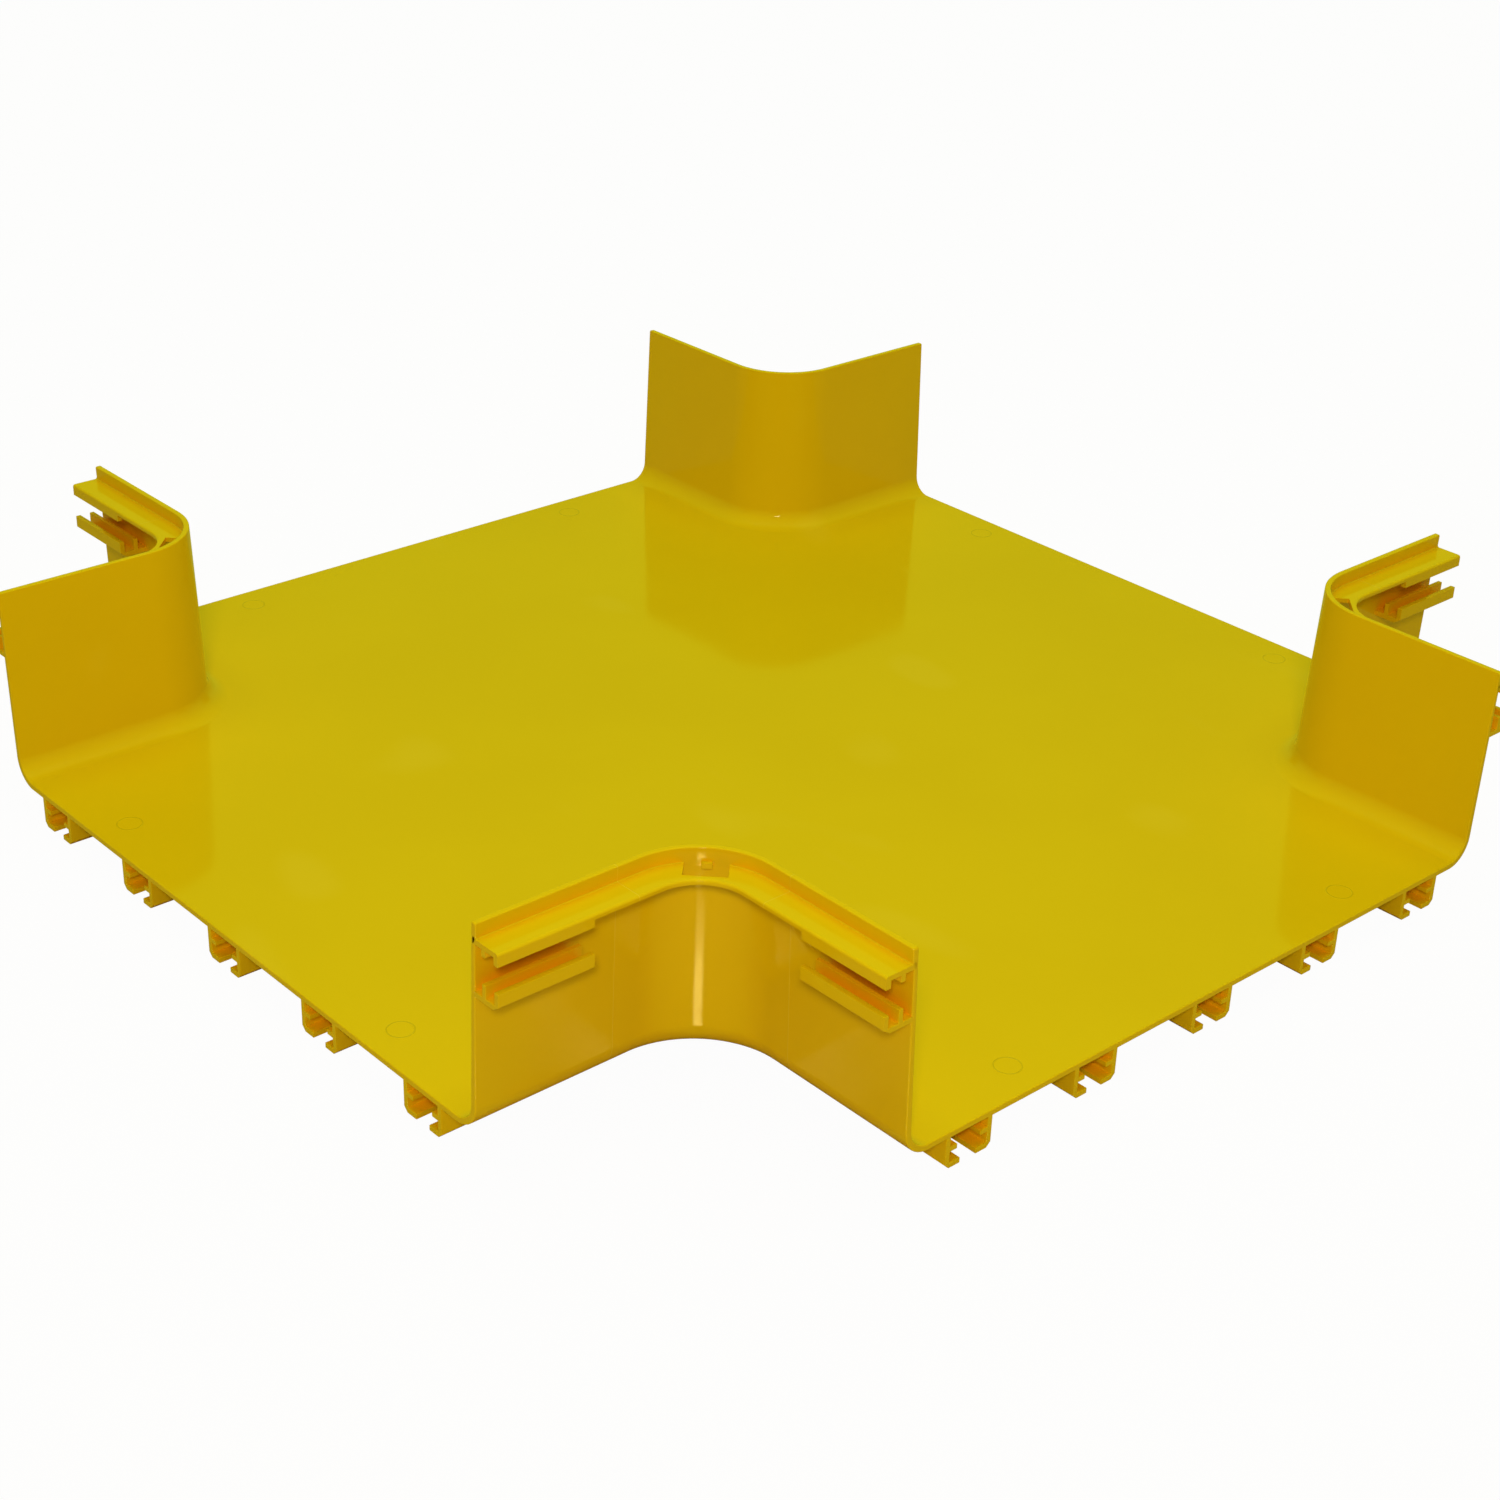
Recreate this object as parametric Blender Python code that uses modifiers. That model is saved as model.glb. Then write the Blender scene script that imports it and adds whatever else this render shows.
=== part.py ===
"""Four-way cross fitting for a fibre raceway, moulded in one piece from yellow plastic.

A flat floor carries four walls, each bent through a right angle. Every wall ends in a
thicker lip, with a flange below it on the outer side. At the four openings the flange and
a rail below it form slots for the joining brackets, and five more slots of the same kind
hang under the floor. The origin is at the middle of the underside, +Z up, in metres.
"""
import math

import bmesh
import bpy
from mathutils import Matrix, Vector

# Trough
OVERALL_LENGTH = 0.584
CLEAR_WIDTH = 0.358
WALL_HEIGHT = 0.0915
FLOOR_THICKNESS = 0.003
WALL_TOP_THICKNESS = 0.002
LIP_THICKNESS = 0.0028
LIP_HEIGHT = 0.0068
LIP_CORNER_RADIUS = 0.001
WALL_DRAFT = math.radians(2.0)
FOOT_RADIUS = 0.010
BEND_RADIUS = 0.0366

# Bracket slots, the same section under the floor and on the walls
SLOT_WIDTH = 0.025
SLOT_DEPTH = 0.0142
SLOT_LENGTH = 0.044
SLOT_PITCH = 0.072
LEG_THICKNESS = 0.0024
LIP_RETURN = 0.0025
RIB_THICKNESS = 0.0022
RIB_SETBACK = 0.0044
FLOOR_LIP_REACH = 0.0082
FLOOR_RIB_REACH = 0.0062
FLOOR_CHAMFER = 0.0022
HOOK_REACH = 0.0055
HOOK_RIB_REACH = 0.0052
RAIL_REACH = 0.0081
RAIL_CHAMFER = 0.0034
FLANGE_THICKNESS = 0.0022
FLANGE_EDGE_RADIUS = 0.0012
PLAIN_FLANGE_THINNING = 0.0001

# Notch in the flange at the middle of each bend, and the pin on the lip behind it
NOTCH_WIDTH = 0.0175
NOTCH_EDGE_MARGIN = 0.0028
PIN_WIDTH = 0.0044
PIN_HEIGHT = 0.0026
PIN_REACH = 0.0019
PIN_LIFT = 0.0007

# Modelling: the pieces run past the ends by different lengths before they are trimmed
BEND_STEPS = 14
FOOT_STEPS = 6
EDGE_STEPS = 3
SINK = 0.001
OVERHANG = 0.004
LIP_OVERHANG = 0.003
FLANGE_OVERHANG = 0.002
SLOT_OVERHANG = 0.001
WELD = 0.00001
FLAT_ANGLE = math.radians(0.1)
SMOOTH_ANGLE = math.radians(35)
QUARTER_TURN = math.pi / 2

# Places that follow from the sizes above
FLOOR_UNDERSIDE = SLOT_DEPTH
FLOOR_TOP = FLOOR_UNDERSIDE + FLOOR_THICKNESS
LIP_TOP = FLOOR_TOP + WALL_HEIGHT
FLANGE_TOP = LIP_TOP - LIP_HEIGHT
HALF_LENGTH = OVERALL_LENGTH / 2
BEND_CENTRE = CLEAR_WIDTH / 2 + BEND_RADIUS
MOULDED_END = HALF_LENGTH + OVERHANG
SLOT_START = HALF_LENGTH - SLOT_LENGTH
UP = Vector((0, 0, 1))

YELLOW = (0.62, 0.40, 0.008, 1.0)
ROUGHNESS = 0.3


def clear_scene():
    for obj in list(bpy.data.objects):
        bpy.data.objects.remove(obj)


def new_collection(name):
    collection = bpy.data.collections.new(name)
    bpy.context.scene.collection.children.link(collection)
    return collection


def moulded_plastic():
    material = bpy.data.materials.new("yellow_plastic")
    material.use_nodes = True
    shader = material.node_tree.nodes["Principled BSDF"]
    shader.inputs["Base Color"].default_value = YELLOW
    shader.inputs["Roughness"].default_value = ROUGHNESS
    shader.inputs["Metallic"].default_value = 0.0
    return material


def mesh_object(name, bm, collection):
    """Turns a finished bmesh into an object of a collection."""
    mesh = bpy.data.meshes.new(name)
    bm.to_mesh(mesh)
    bm.free()
    obj = bpy.data.objects.new(name, mesh)
    collection.objects.link(obj)
    return obj


def as_tool(obj):
    """Marks an object that only shapes another one."""
    obj.hide_render = True
    obj.display_type = "WIRE"


def combine(target, tool, operation):
    """Adds, removes or intersects a tool, as a live modifier on the target."""
    modifier = target.modifiers.new(tool.name, "BOOLEAN")
    modifier.operation = operation
    modifier.object = tool
    modifier.solver = "EXACT"
    as_tool(tool)


def arc(centre_x, centre_y, radius, start, end, steps):
    """Points of an arc, both ends included, as (x, y) pairs."""
    points = []
    for i in range(steps + 1):
        angle = start + (end - start) * i / steps
        points.append((centre_x + radius * math.cos(angle), centre_y + radius * math.sin(angle)))
    return points


def inner_face(height):
    """Distance of a wall's trough side from the middle of its arm, at a height."""
    return CLEAR_WIDTH / 2 - (LIP_TOP - height) * math.tan(WALL_DRAFT)


def outer_face(height):
    """Distance of a wall's outer side from the middle of its arm, at a height."""
    share = (LIP_TOP - height) / WALL_HEIGHT
    thickness = WALL_TOP_THICKNESS + share * (FLOOR_THICKNESS - WALL_TOP_THICKNESS)
    return inner_face(height) + thickness


def lip_face(height):
    """Distance of a lip's outer side from the middle of its arm, at a height."""
    return inner_face(height) + LIP_THICKNESS


def trough_profile():
    """Trough side of a wall, from above the lip down to the floor, as (offset, height)."""
    top = LIP_TOP + OVERHANG
    foot_height = FLOOR_TOP + FOOT_RADIUS
    foot_centre = inner_face(foot_height) - FOOT_RADIUS / math.cos(WALL_DRAFT)
    foot = arc(foot_centre, foot_height, FOOT_RADIUS, -WALL_DRAFT, -QUARTER_TURN, FOOT_STEPS)
    return [(inner_face(top), top)] + foot


def sweep_round_corner(bm, section, end):
    """Carries a section along one arm from its end, round the bend and along the other arm."""
    straight = end - BEND_CENTRE
    stages = (
        ((0, -straight, 0), 0, 1),
        ((0, 0, 0), QUARTER_TURN, BEND_STEPS),
        ((straight, 0, 0), 0, 1),
    )
    for shift, angle, steps in stages:
        result = bmesh.ops.spin(bm, geom=section, cent=(BEND_CENTRE, BEND_CENTRE, 0), axis=UP,
                                dvec=shift, angle=angle, steps=steps)
        section = result["geom_last"]
    return section


def mirror_to_four(obj):
    """Repeats a quarter of the fitting over the other three."""
    modifier = obj.modifiers.new("four_quarters", "MIRROR")
    modifier.use_axis = (True, True, False)
    modifier.merge_threshold = WELD


def quarter_skin():
    """Trough side of one quarter: the bent wall and its share of the floor."""
    bm = bmesh.new()
    verts = [bm.verts.new((offset, MOULDED_END, height)) for offset, height in trough_profile()]
    edges = [bm.edges.new(pair) for pair in zip(verts, verts[1:])]
    sweep_round_corner(bm, verts + edges, MOULDED_END)
    bmesh.ops.remove_doubles(bm, verts=bm.verts, dist=WELD)
    floor_edge = [v for v in bm.verts if abs(v.co.z - FLOOR_TOP) < WELD]
    floor_edge.sort(key=lambda v: math.atan2(v.co.y, v.co.x))
    corners = [(0, MOULDED_END), (0, 0), (MOULDED_END, 0)]
    floor_corners = [bm.verts.new((x, y, FLOOR_TOP)) for x, y in corners]
    floor = bm.faces.new(floor_edge + floor_corners)
    bmesh.ops.recalc_face_normals(bm, faces=bm.faces)
    floor.normal_update()
    if floor.normal.z < 0:
        bmesh.ops.reverse_faces(bm, faces=bm.faces)
    return bm


def make_shell(collection):
    """Floor and walls: the skin given its thickness, which thins towards the top."""
    obj = mesh_object("cross_body", quarter_skin(), collection)
    group = obj.vertex_groups.new(name="full_thickness")
    below_top = [v.index for v in obj.data.vertices if v.co.z < LIP_TOP]
    group.add(below_top, 1.0, "REPLACE")
    mirror_to_four(obj)
    solidify = obj.modifiers.new("wall", "SOLIDIFY")
    solidify.thickness = FLOOR_THICKNESS
    solidify.offset = -1
    solidify.use_even_offset = True
    solidify.vertex_group = group.name
    solidify.thickness_vertex_group = WALL_TOP_THICKNESS / FLOOR_THICKNESS
    return obj


def leg_outline(thickness, lip_reach, rib_reach, corner):
    """Section of one side of a slot, as (distance across the slot, depth from its base).

    The leg starts inside the base, carries a rib part way out and ends in a lip that is
    turned across the slot. corner holds the points of its outer corner.
    """
    rib_end = RIB_SETBACK + RIB_THICKNESS
    lip_start = SLOT_DEPTH - LIP_RETURN
    outline = [(0, -SINK), (thickness, -SINK)]
    outline += [(thickness, RIB_SETBACK), (rib_reach, RIB_SETBACK)]
    outline += [(rib_reach, rib_end), (thickness, rib_end)]
    outline += [(thickness, lip_start), (lip_reach, lip_start), (lip_reach, SLOT_DEPTH)]
    return outline + corner


def chamfered_corner(size):
    return [(size, SLOT_DEPTH), (0, SLOT_DEPTH - size)]


def rounded_corner(radius):
    middle = SLOT_DEPTH - radius
    return arc(radius, middle, radius, QUARTER_TURN, 2 * QUARTER_TURN, EDGE_STEPS)


def prism(outline, length):
    """Mesh of a flat outline in XY, extruded up from z = 0."""
    curve = bpy.data.curves.new("outline", "CURVE")
    curve.dimensions = "2D"
    curve.fill_mode = "BOTH"
    curve.extrude = length / 2
    spline = curve.splines.new("POLY")
    spline.points.add(len(outline) - 1)
    for point, (x, y) in zip(spline.points, outline):
        point.co = (x, y, 0, 1)
    spline.use_cyclic_u = True
    holder = bpy.data.objects.new("outline", curve)
    bpy.context.scene.collection.objects.link(holder)
    depsgraph = bpy.context.evaluated_depsgraph_get()
    mesh = bpy.data.meshes.new_from_object(holder.evaluated_get(depsgraph))
    bpy.data.objects.remove(holder)
    mesh.transform(Matrix.Translation((0, 0, length / 2)))
    return mesh


def add_copy(bm, mesh, matrix):
    """Adds a mesh to a bmesh, moved by a matrix."""
    before = len(bm.verts)
    bm.from_mesh(mesh)
    bm.verts.ensure_lookup_table()
    bmesh.ops.transform(bm, matrix=matrix, verts=bm.verts[before:])


def close_prisms(bm):
    """Welds the caps of the prisms and turns their faces outwards."""
    bmesh.ops.remove_doubles(bm, verts=bm.verts, dist=WELD)
    bmesh.ops.recalc_face_normals(bm, faces=bm.faces)


def slots_across():
    """Number of slots that fit side by side under the flat floor of an opening."""
    flat_floor = 2 * (inner_face(FLOOR_TOP) - FOOT_RADIUS)
    return 1 + math.floor((flat_floor - SLOT_WIDTH) / SLOT_PITCH)


def make_floor_slots(collection):
    """The slots under the floor: two legs each, in a row at every opening."""
    outline = leg_outline(LEG_THICKNESS, FLOOR_LIP_REACH, FLOOR_RIB_REACH,
                          chamfered_corner(FLOOR_CHAMFER))
    length = SLOT_LENGTH + SLOT_OVERHANG
    leg = prism([(SLOT_WIDTH / 2 - across, -depth) for across, depth in outline], length)
    along_arm = Matrix.Rotation(QUARTER_TURN, 4, "Z") @ Matrix.Rotation(QUARTER_TURN, 4, "X")
    outward = Matrix.Translation((SLOT_START, 0, FLOOR_UNDERSIDE)) @ along_arm
    half_turn = Matrix.Rotation(2 * QUARTER_TURN, 4, "Z")
    facing_leg = Matrix.Translation((2 * SLOT_START + length, 0, 0)) @ half_turn
    count = slots_across()
    bm = bmesh.new()
    for opening in range(4):
        turn = Matrix.Rotation(opening * QUARTER_TURN, 4, "Z")
        for i in range(count):
            across = (i - (count - 1) / 2) * SLOT_PITCH
            place = turn @ Matrix.Translation((0, across, 0))
            add_copy(bm, leg, place @ outward)
            add_copy(bm, leg, place @ facing_leg @ outward)
    close_prisms(bm)
    return mesh_object("floor_slots", bm, collection)


def side_slot_base():
    """Offset of the wall's outer side at the middle of the side slots."""
    return outer_face(FLANGE_TOP - SLOT_WIDTH / 2)


def make_lower_rails(collection):
    """Rails on the walls below the flange, one at each end of every wall."""
    outline = leg_outline(LEG_THICKNESS, RAIL_REACH, RAIL_REACH, chamfered_corner(RAIL_CHAMFER))
    underside = FLANGE_TOP - SLOT_WIDTH
    section = [(side_slot_base() + depth, underside + across) for across, depth in outline]
    length = SLOT_LENGTH + SLOT_OVERHANG
    rail = prism(section, length)
    stand_up = Matrix.Rotation(QUARTER_TURN, 4, "X")
    beside_y = Matrix.Translation((0, SLOT_START + length, 0)) @ stand_up
    bm = bmesh.new()
    add_copy(bm, rail, beside_y)
    turned = Matrix.Rotation(QUARTER_TURN, 4, "Z") @ stand_up
    add_copy(bm, rail, Matrix.Translation((SLOT_START, 0, 0)) @ turned)
    close_prisms(bm)
    obj = mesh_object("lower_rails", bm, collection)
    mirror_to_four(obj)
    return obj


def make_bend_clearance(collection):
    """Cutter that ends the hook and its rib where the side slots end."""
    outline = [(0, 0), (SLOT_START, 0), (SLOT_START, SLOT_START), (0, SLOT_START)]
    top = FLANGE_TOP - FLANGE_THICKNESS + PLAIN_FLANGE_THINNING
    bottom = FLANGE_TOP - max(HOOK_REACH, HOOK_RIB_REACH) - OVERHANG
    bm = bmesh.new()
    add_copy(bm, prism(outline, top - bottom), Matrix.Translation((0, 0, bottom)))
    close_prisms(bm)
    return mesh_object("bend_clearance", bm, collection)


def towards_bend(distance, height):
    """Matrix of a frame on the diagonal, with its X axis pointing away from the bend's axis."""
    reach = BEND_CENTRE - distance / math.sqrt(2)
    return Matrix.Translation((reach, reach, height)) @ Matrix.Rotation(2.5 * QUARTER_TURN, 4, "Z")


def make_notch(collection):
    """Cutter for the notch, from its front edge back into the wall."""
    flange_edge = BEND_CENTRE - side_slot_base() - SLOT_DEPTH
    front = flange_edge + NOTCH_EDGE_MARGIN
    back = BEND_CENTRE - side_slot_base() + OVERHANG
    half = NOTCH_WIDTH / 2
    outline = [(0, -half), (back - front, -half), (back - front, half), (0, half)]
    bottom = FLANGE_TOP - FLANGE_THICKNESS - OVERHANG
    top = FLANGE_TOP + OVERHANG
    bm = bmesh.new()
    add_copy(bm, prism(outline, top - bottom), towards_bend(front, bottom))
    close_prisms(bm)
    return mesh_object("notch", bm, collection)


def swept_solid(outline, end):
    """Solid of a closed outline, given as (offset, height), carried round the corner."""
    bm = bmesh.new()
    verts = [bm.verts.new((offset, end, height)) for offset, height in outline]
    section = bm.faces.new(verts)
    sweep_round_corner(bm, [section] + list(section.edges) + verts, end)
    bmesh.ops.remove_doubles(bm, verts=bm.verts, dist=WELD)
    bmesh.ops.recalc_face_normals(bm, faces=bm.faces)
    bmesh.ops.dissolve_limit(bm, angle_limit=FLAT_ANGLE, verts=bm.verts, edges=bm.edges)
    return bm


def make_lip(collection):
    """Lip above the flange, thicker than the wall that carries it."""
    bottom = FLANGE_TOP - SINK
    top = LIP_TOP + LIP_OVERHANG
    outline = [(outer_face(bottom) - SINK, bottom), (lip_face(bottom), bottom)]
    outline += [(lip_face(top), top), (outer_face(top) - SINK, top)]
    obj = mesh_object("lip", swept_solid(outline, HALF_LENGTH + LIP_OVERHANG), collection)
    mirror_to_four(obj)
    return obj


def make_flange(collection):
    """Flange round the bend, with the hook and rib of the side slots at its two ends."""
    section = leg_outline(FLANGE_THICKNESS, HOOK_REACH, HOOK_RIB_REACH,
                          rounded_corner(FLANGE_EDGE_RADIUS))
    outline = [(side_slot_base() + depth, FLANGE_TOP - across) for across, depth in section]
    obj = mesh_object("flange", swept_solid(outline, HALF_LENGTH + FLANGE_OVERHANG), collection)
    combine(obj, make_bend_clearance(collection), "DIFFERENCE")
    combine(obj, make_notch(collection), "DIFFERENCE")
    mirror_to_four(obj)
    return obj


def make_pins(collection):
    """Small square pins on the outer side of the lips, at the middle of the bends."""
    half = PIN_WIDTH / 2
    lip = BEND_CENTRE - lip_face(FLANGE_TOP)
    bottom = FLANGE_TOP + PIN_LIFT - PIN_HEIGHT
    outline = [(-PIN_REACH, -half), (SINK, -half), (SINK, half), (-PIN_REACH, half)]
    bm = bmesh.new()
    add_copy(bm, prism(outline, PIN_HEIGHT), towards_bend(lip, bottom))
    close_prisms(bm)
    obj = mesh_object("pins", bm, collection)
    mirror_to_four(obj)
    return obj


def make_end_trim(collection):
    """Block that trims the four ends square and rounds the end corners of the lips."""
    bottom = -OVERHANG
    height = LIP_TOP - bottom
    bm = bmesh.new()
    bmesh.ops.create_cube(bm, size=1)
    size = Matrix.Diagonal((OVERALL_LENGTH, OVERALL_LENGTH, height, 1))
    place = Matrix.Translation((0, 0, bottom + height / 2))
    bmesh.ops.transform(bm, matrix=place @ size, verts=bm.verts)
    top_edges = [e for e in bm.edges if all(v.co.z > 0 for v in e.verts)]
    bmesh.ops.bevel(bm, geom=top_edges, offset=LIP_CORNER_RADIUS, segments=EDGE_STEPS,
                    profile=0.5, affect="EDGES")
    return mesh_object("end_trim", bm, collection)


def main():
    clear_scene()
    model = new_collection("raceway_cross")
    tools = new_collection("shaping_tools")
    body = make_shell(model)
    combine(body, make_lip(tools), "UNION")
    combine(body, make_flange(tools), "UNION")
    combine(body, make_lower_rails(tools), "UNION")
    combine(body, make_floor_slots(tools), "UNION")
    combine(body, make_pins(tools), "UNION")
    combine(body, make_end_trim(tools), "INTERSECT")
    body.data.materials.append(moulded_plastic())
    body.data.shade_smooth()
    body.data.set_sharp_from_angle(angle=SMOOTH_ANGLE)


main()
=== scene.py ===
"""Cross fitting of a fibre raceway, one glossy yellow moulding, in plain studio light."""
import math

import bmesh
import bpy
from mathutils import Matrix, Vector


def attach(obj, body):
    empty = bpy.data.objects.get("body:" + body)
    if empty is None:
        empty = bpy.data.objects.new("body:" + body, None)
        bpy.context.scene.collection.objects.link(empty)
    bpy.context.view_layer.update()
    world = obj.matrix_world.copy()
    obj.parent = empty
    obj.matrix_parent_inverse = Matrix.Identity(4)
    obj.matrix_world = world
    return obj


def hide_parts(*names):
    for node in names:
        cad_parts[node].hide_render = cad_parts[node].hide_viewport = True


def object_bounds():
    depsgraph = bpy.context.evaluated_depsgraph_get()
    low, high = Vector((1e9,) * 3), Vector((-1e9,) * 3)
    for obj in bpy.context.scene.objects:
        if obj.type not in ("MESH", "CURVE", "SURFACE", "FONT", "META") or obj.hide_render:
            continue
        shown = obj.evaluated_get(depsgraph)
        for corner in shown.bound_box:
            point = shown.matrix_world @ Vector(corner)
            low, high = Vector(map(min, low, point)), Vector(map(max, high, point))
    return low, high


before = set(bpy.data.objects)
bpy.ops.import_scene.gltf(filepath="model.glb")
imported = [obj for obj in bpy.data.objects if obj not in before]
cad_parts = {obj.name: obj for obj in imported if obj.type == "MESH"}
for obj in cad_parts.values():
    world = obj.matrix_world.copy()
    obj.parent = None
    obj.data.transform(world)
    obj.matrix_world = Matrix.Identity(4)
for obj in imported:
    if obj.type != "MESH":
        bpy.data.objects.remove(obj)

CAD_LOW, CAD_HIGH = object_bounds()
HALF_LENGTH = CAD_HIGH.x
LIP_TOP = CAD_HIGH.z

# Trough, in metres
CLEAR_WIDTH = 0.358
WALL_HEIGHT = 0.0915
FLOOR_THICKNESS = 0.003
WALL_TOP_THICKNESS = 0.002
LIP_THICKNESS = 0.0028
LIP_HEIGHT = 0.0068
LIP_CORNER_RADIUS = 0.001
WALL_DRAFT = math.radians(2.0)
FOOT_RADIUS = 0.010
BEND_RADIUS = 0.0366

# Bracket slots
SLOT_WIDTH = 0.025
SLOT_DEPTH = 0.0142
SLOT_LENGTH = 0.044
SLOT_PITCH = 0.072
SLOTS_PER_OPENING = 5
LEG_THICKNESS = 0.0024
LIP_RETURN = 0.0025
RIB_THICKNESS = 0.0022
RIB_SETBACK = 0.0044
FLOOR_LIP_REACH = 0.0082
FLOOR_RIB_REACH = 0.0062
FLOOR_CHAMFER = 0.0022
HOOK_REACH = 0.0055
HOOK_RIB_REACH = 0.0052
RAIL_REACH = 0.0081
RAIL_CHAMFER = 0.0034
FLANGE_THICKNESS = 0.0022
FLANGE_EDGE_RADIUS = 0.0012
FLANGE_COVE = 0.0006

# Notch and pin at the middle of each bend
NOTCH_WIDTH = 0.0175
NOTCH_EDGE_MARGIN = 0.0028
PIN_WIDTH = 0.0044
PIN_HEIGHT = 0.0026
PIN_REACH = 0.0019
PIN_LIFT = 0.0007

# Finish of the edges, and how far pieces sink into each other
LIP_ROUND = 0.0006
FINE_ROUND = 0.00025
ROOT = 0.0008
BEND_STEPS = 24
FOOT_STEPS = 10
LIP_CORNER_STEPS = 6
COVE_STEPS = 6
FLANGE_EDGE_STEPS = 5
ROUND_PROFILE = 0.5
HOLLOW_PROFILE = 0.086
CLOSE = 0.00002
QUARTER_TURN = math.pi / 2
FLAT_ANGLE = math.radians(0.2)
SMOOTH_ANGLE = math.radians(35)
SHARP_ANGLE = math.radians(50)

# Places that follow from the sizes
FLOOR_TOP = LIP_TOP - WALL_HEIGHT
FLOOR_UNDERSIDE = FLOOR_TOP - FLOOR_THICKNESS
FLANGE_TOP = LIP_TOP - LIP_HEIGHT
BEND_CENTRE = CLEAR_WIDTH / 2 + BEND_RADIUS
SLOT_START = HALF_LENGTH - SLOT_LENGTH
# The step from the wall out to the lip, hidden inside the flange
LIP_STEP_LOW = FLANGE_TOP - 0.9 * FLANGE_THICKNESS
LIP_STEP_HIGH = FLANGE_TOP - 0.2 * FLANGE_THICKNESS


def near(a, b):
    return abs(a - b) < CLOSE


def inner_face(height):
    """Distance of a wall's trough side from the middle of its arm, at a height."""
    return CLEAR_WIDTH / 2 - (LIP_TOP - height) * math.tan(WALL_DRAFT)


def outer_face(height):
    """Distance of a wall's outer side from the middle of its arm, at a height."""
    share = (LIP_TOP - height) / WALL_HEIGHT
    thickness = WALL_TOP_THICKNESS + share * (FLOOR_THICKNESS - WALL_TOP_THICKNESS)
    return inner_face(height) + thickness


def lip_face(height):
    """Distance of a lip's outer side from the middle of its arm, at a height."""
    return inner_face(height) + LIP_THICKNESS


SLOT_BASE = outer_face(FLANGE_TOP - SLOT_WIDTH / 2)


def wall_offset(point):
    """Distance of a point of the quarter from the middle of its arm, measured round the bend."""
    if point.y > BEND_CENTRE:
        return point.x
    if point.x > BEND_CENTRE:
        return point.y
    return BEND_CENTRE - math.hypot(point.x - BEND_CENTRE, point.y - BEND_CENTRE)


# Modelling moves


def add_plane(name, location, rotation, scale):
    bpy.ops.object.select_all(action="DESELECT")
    bpy.ops.mesh.primitive_plane_add(size=1, location=location, rotation=rotation)
    return settle(bpy.context.object, name, scale)


def add_cube(name, location, scale, rotation=(0, 0, 0)):
    bpy.ops.object.select_all(action="DESELECT")
    bpy.ops.mesh.primitive_cube_add(size=1, location=location, rotation=rotation)
    return settle(bpy.context.object, name, scale)


def settle(obj, name, scale):
    """Names a new piece, sizes it and puts its place into its mesh."""
    obj.name = name
    obj.scale = scale
    bpy.ops.object.transform_apply(location=True, rotation=True, scale=True)
    return obj


def pick(kind, test):
    """Selects the faces, edges or points in edit mode that pass a test."""
    bpy.ops.mesh.select_mode(type={"faces": "FACE", "edges": "EDGE", "verts": "VERT"}[kind])
    bpy.ops.mesh.select_all(action="DESELECT")
    mesh = bpy.context.edit_object.data
    bm = bmesh.from_edit_mesh(mesh)
    for element in getattr(bm, kind):
        if test(element):
            element.select_set(True)
    bm.select_flush_mode()
    bmesh.update_edit_mesh(mesh)


def extrude(x=0, y=0, z=0):
    bpy.ops.mesh.extrude_region_move(TRANSFORM_OT_translate={"value": (x, y, z)})


def split(co, normal):
    """Cuts the whole piece along a plane."""
    bpy.ops.mesh.select_all(action="SELECT")
    bpy.ops.mesh.bisect(plane_co=co, plane_no=normal)


def carry_round_bend():
    """Carries the selected section round the bend of one corner."""
    bpy.ops.mesh.spin(steps=BEND_STEPS, angle=-QUARTER_TURN, center=(BEND_CENTRE, BEND_CENTRE, 0),
                      axis=(0, 0, 1))


def clean_flat_faces():
    bpy.ops.mesh.select_all(action="SELECT")
    bpy.ops.mesh.remove_doubles(threshold=CLOSE)
    bpy.ops.mesh.dissolve_limited(angle_limit=FLAT_ANGLE)
    bpy.ops.mesh.select_all(action="SELECT")
    bpy.ops.mesh.normals_make_consistent(inside=False)


def apply_modifier(obj, kind, **values):
    """Adds a modifier with its values and applies it."""
    bpy.ops.object.select_all(action="DESELECT")
    obj.select_set(True)
    bpy.context.view_layer.objects.active = obj
    modifier = obj.modifiers.new(kind.lower(), kind)
    for key, value in values.items():
        setattr(modifier, key, value)
    bpy.ops.object.modifier_apply(modifier=modifier.name)


def mirror_to_four(obj):
    apply_modifier(obj, "MIRROR", use_axis=(True, True, False), merge_threshold=CLOSE)


def round_edges(obj, width, segments=2):
    apply_modifier(obj, "BEVEL", width=width, segments=segments, limit_method="ANGLE",
                   angle_limit=SHARP_ANGLE, use_clamp_overlap=True)


def place_copy(source, name, matrix):
    """A copy of a piece with its own mesh, put in place by a matrix."""
    copy = bpy.data.objects.new(name, source.data.copy())
    bpy.context.scene.collection.objects.link(copy)
    copy.data.transform(matrix)
    if matrix.determinant() < 0:
        copy.data.flip_normals()
    return copy


# Floor and walls


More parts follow.
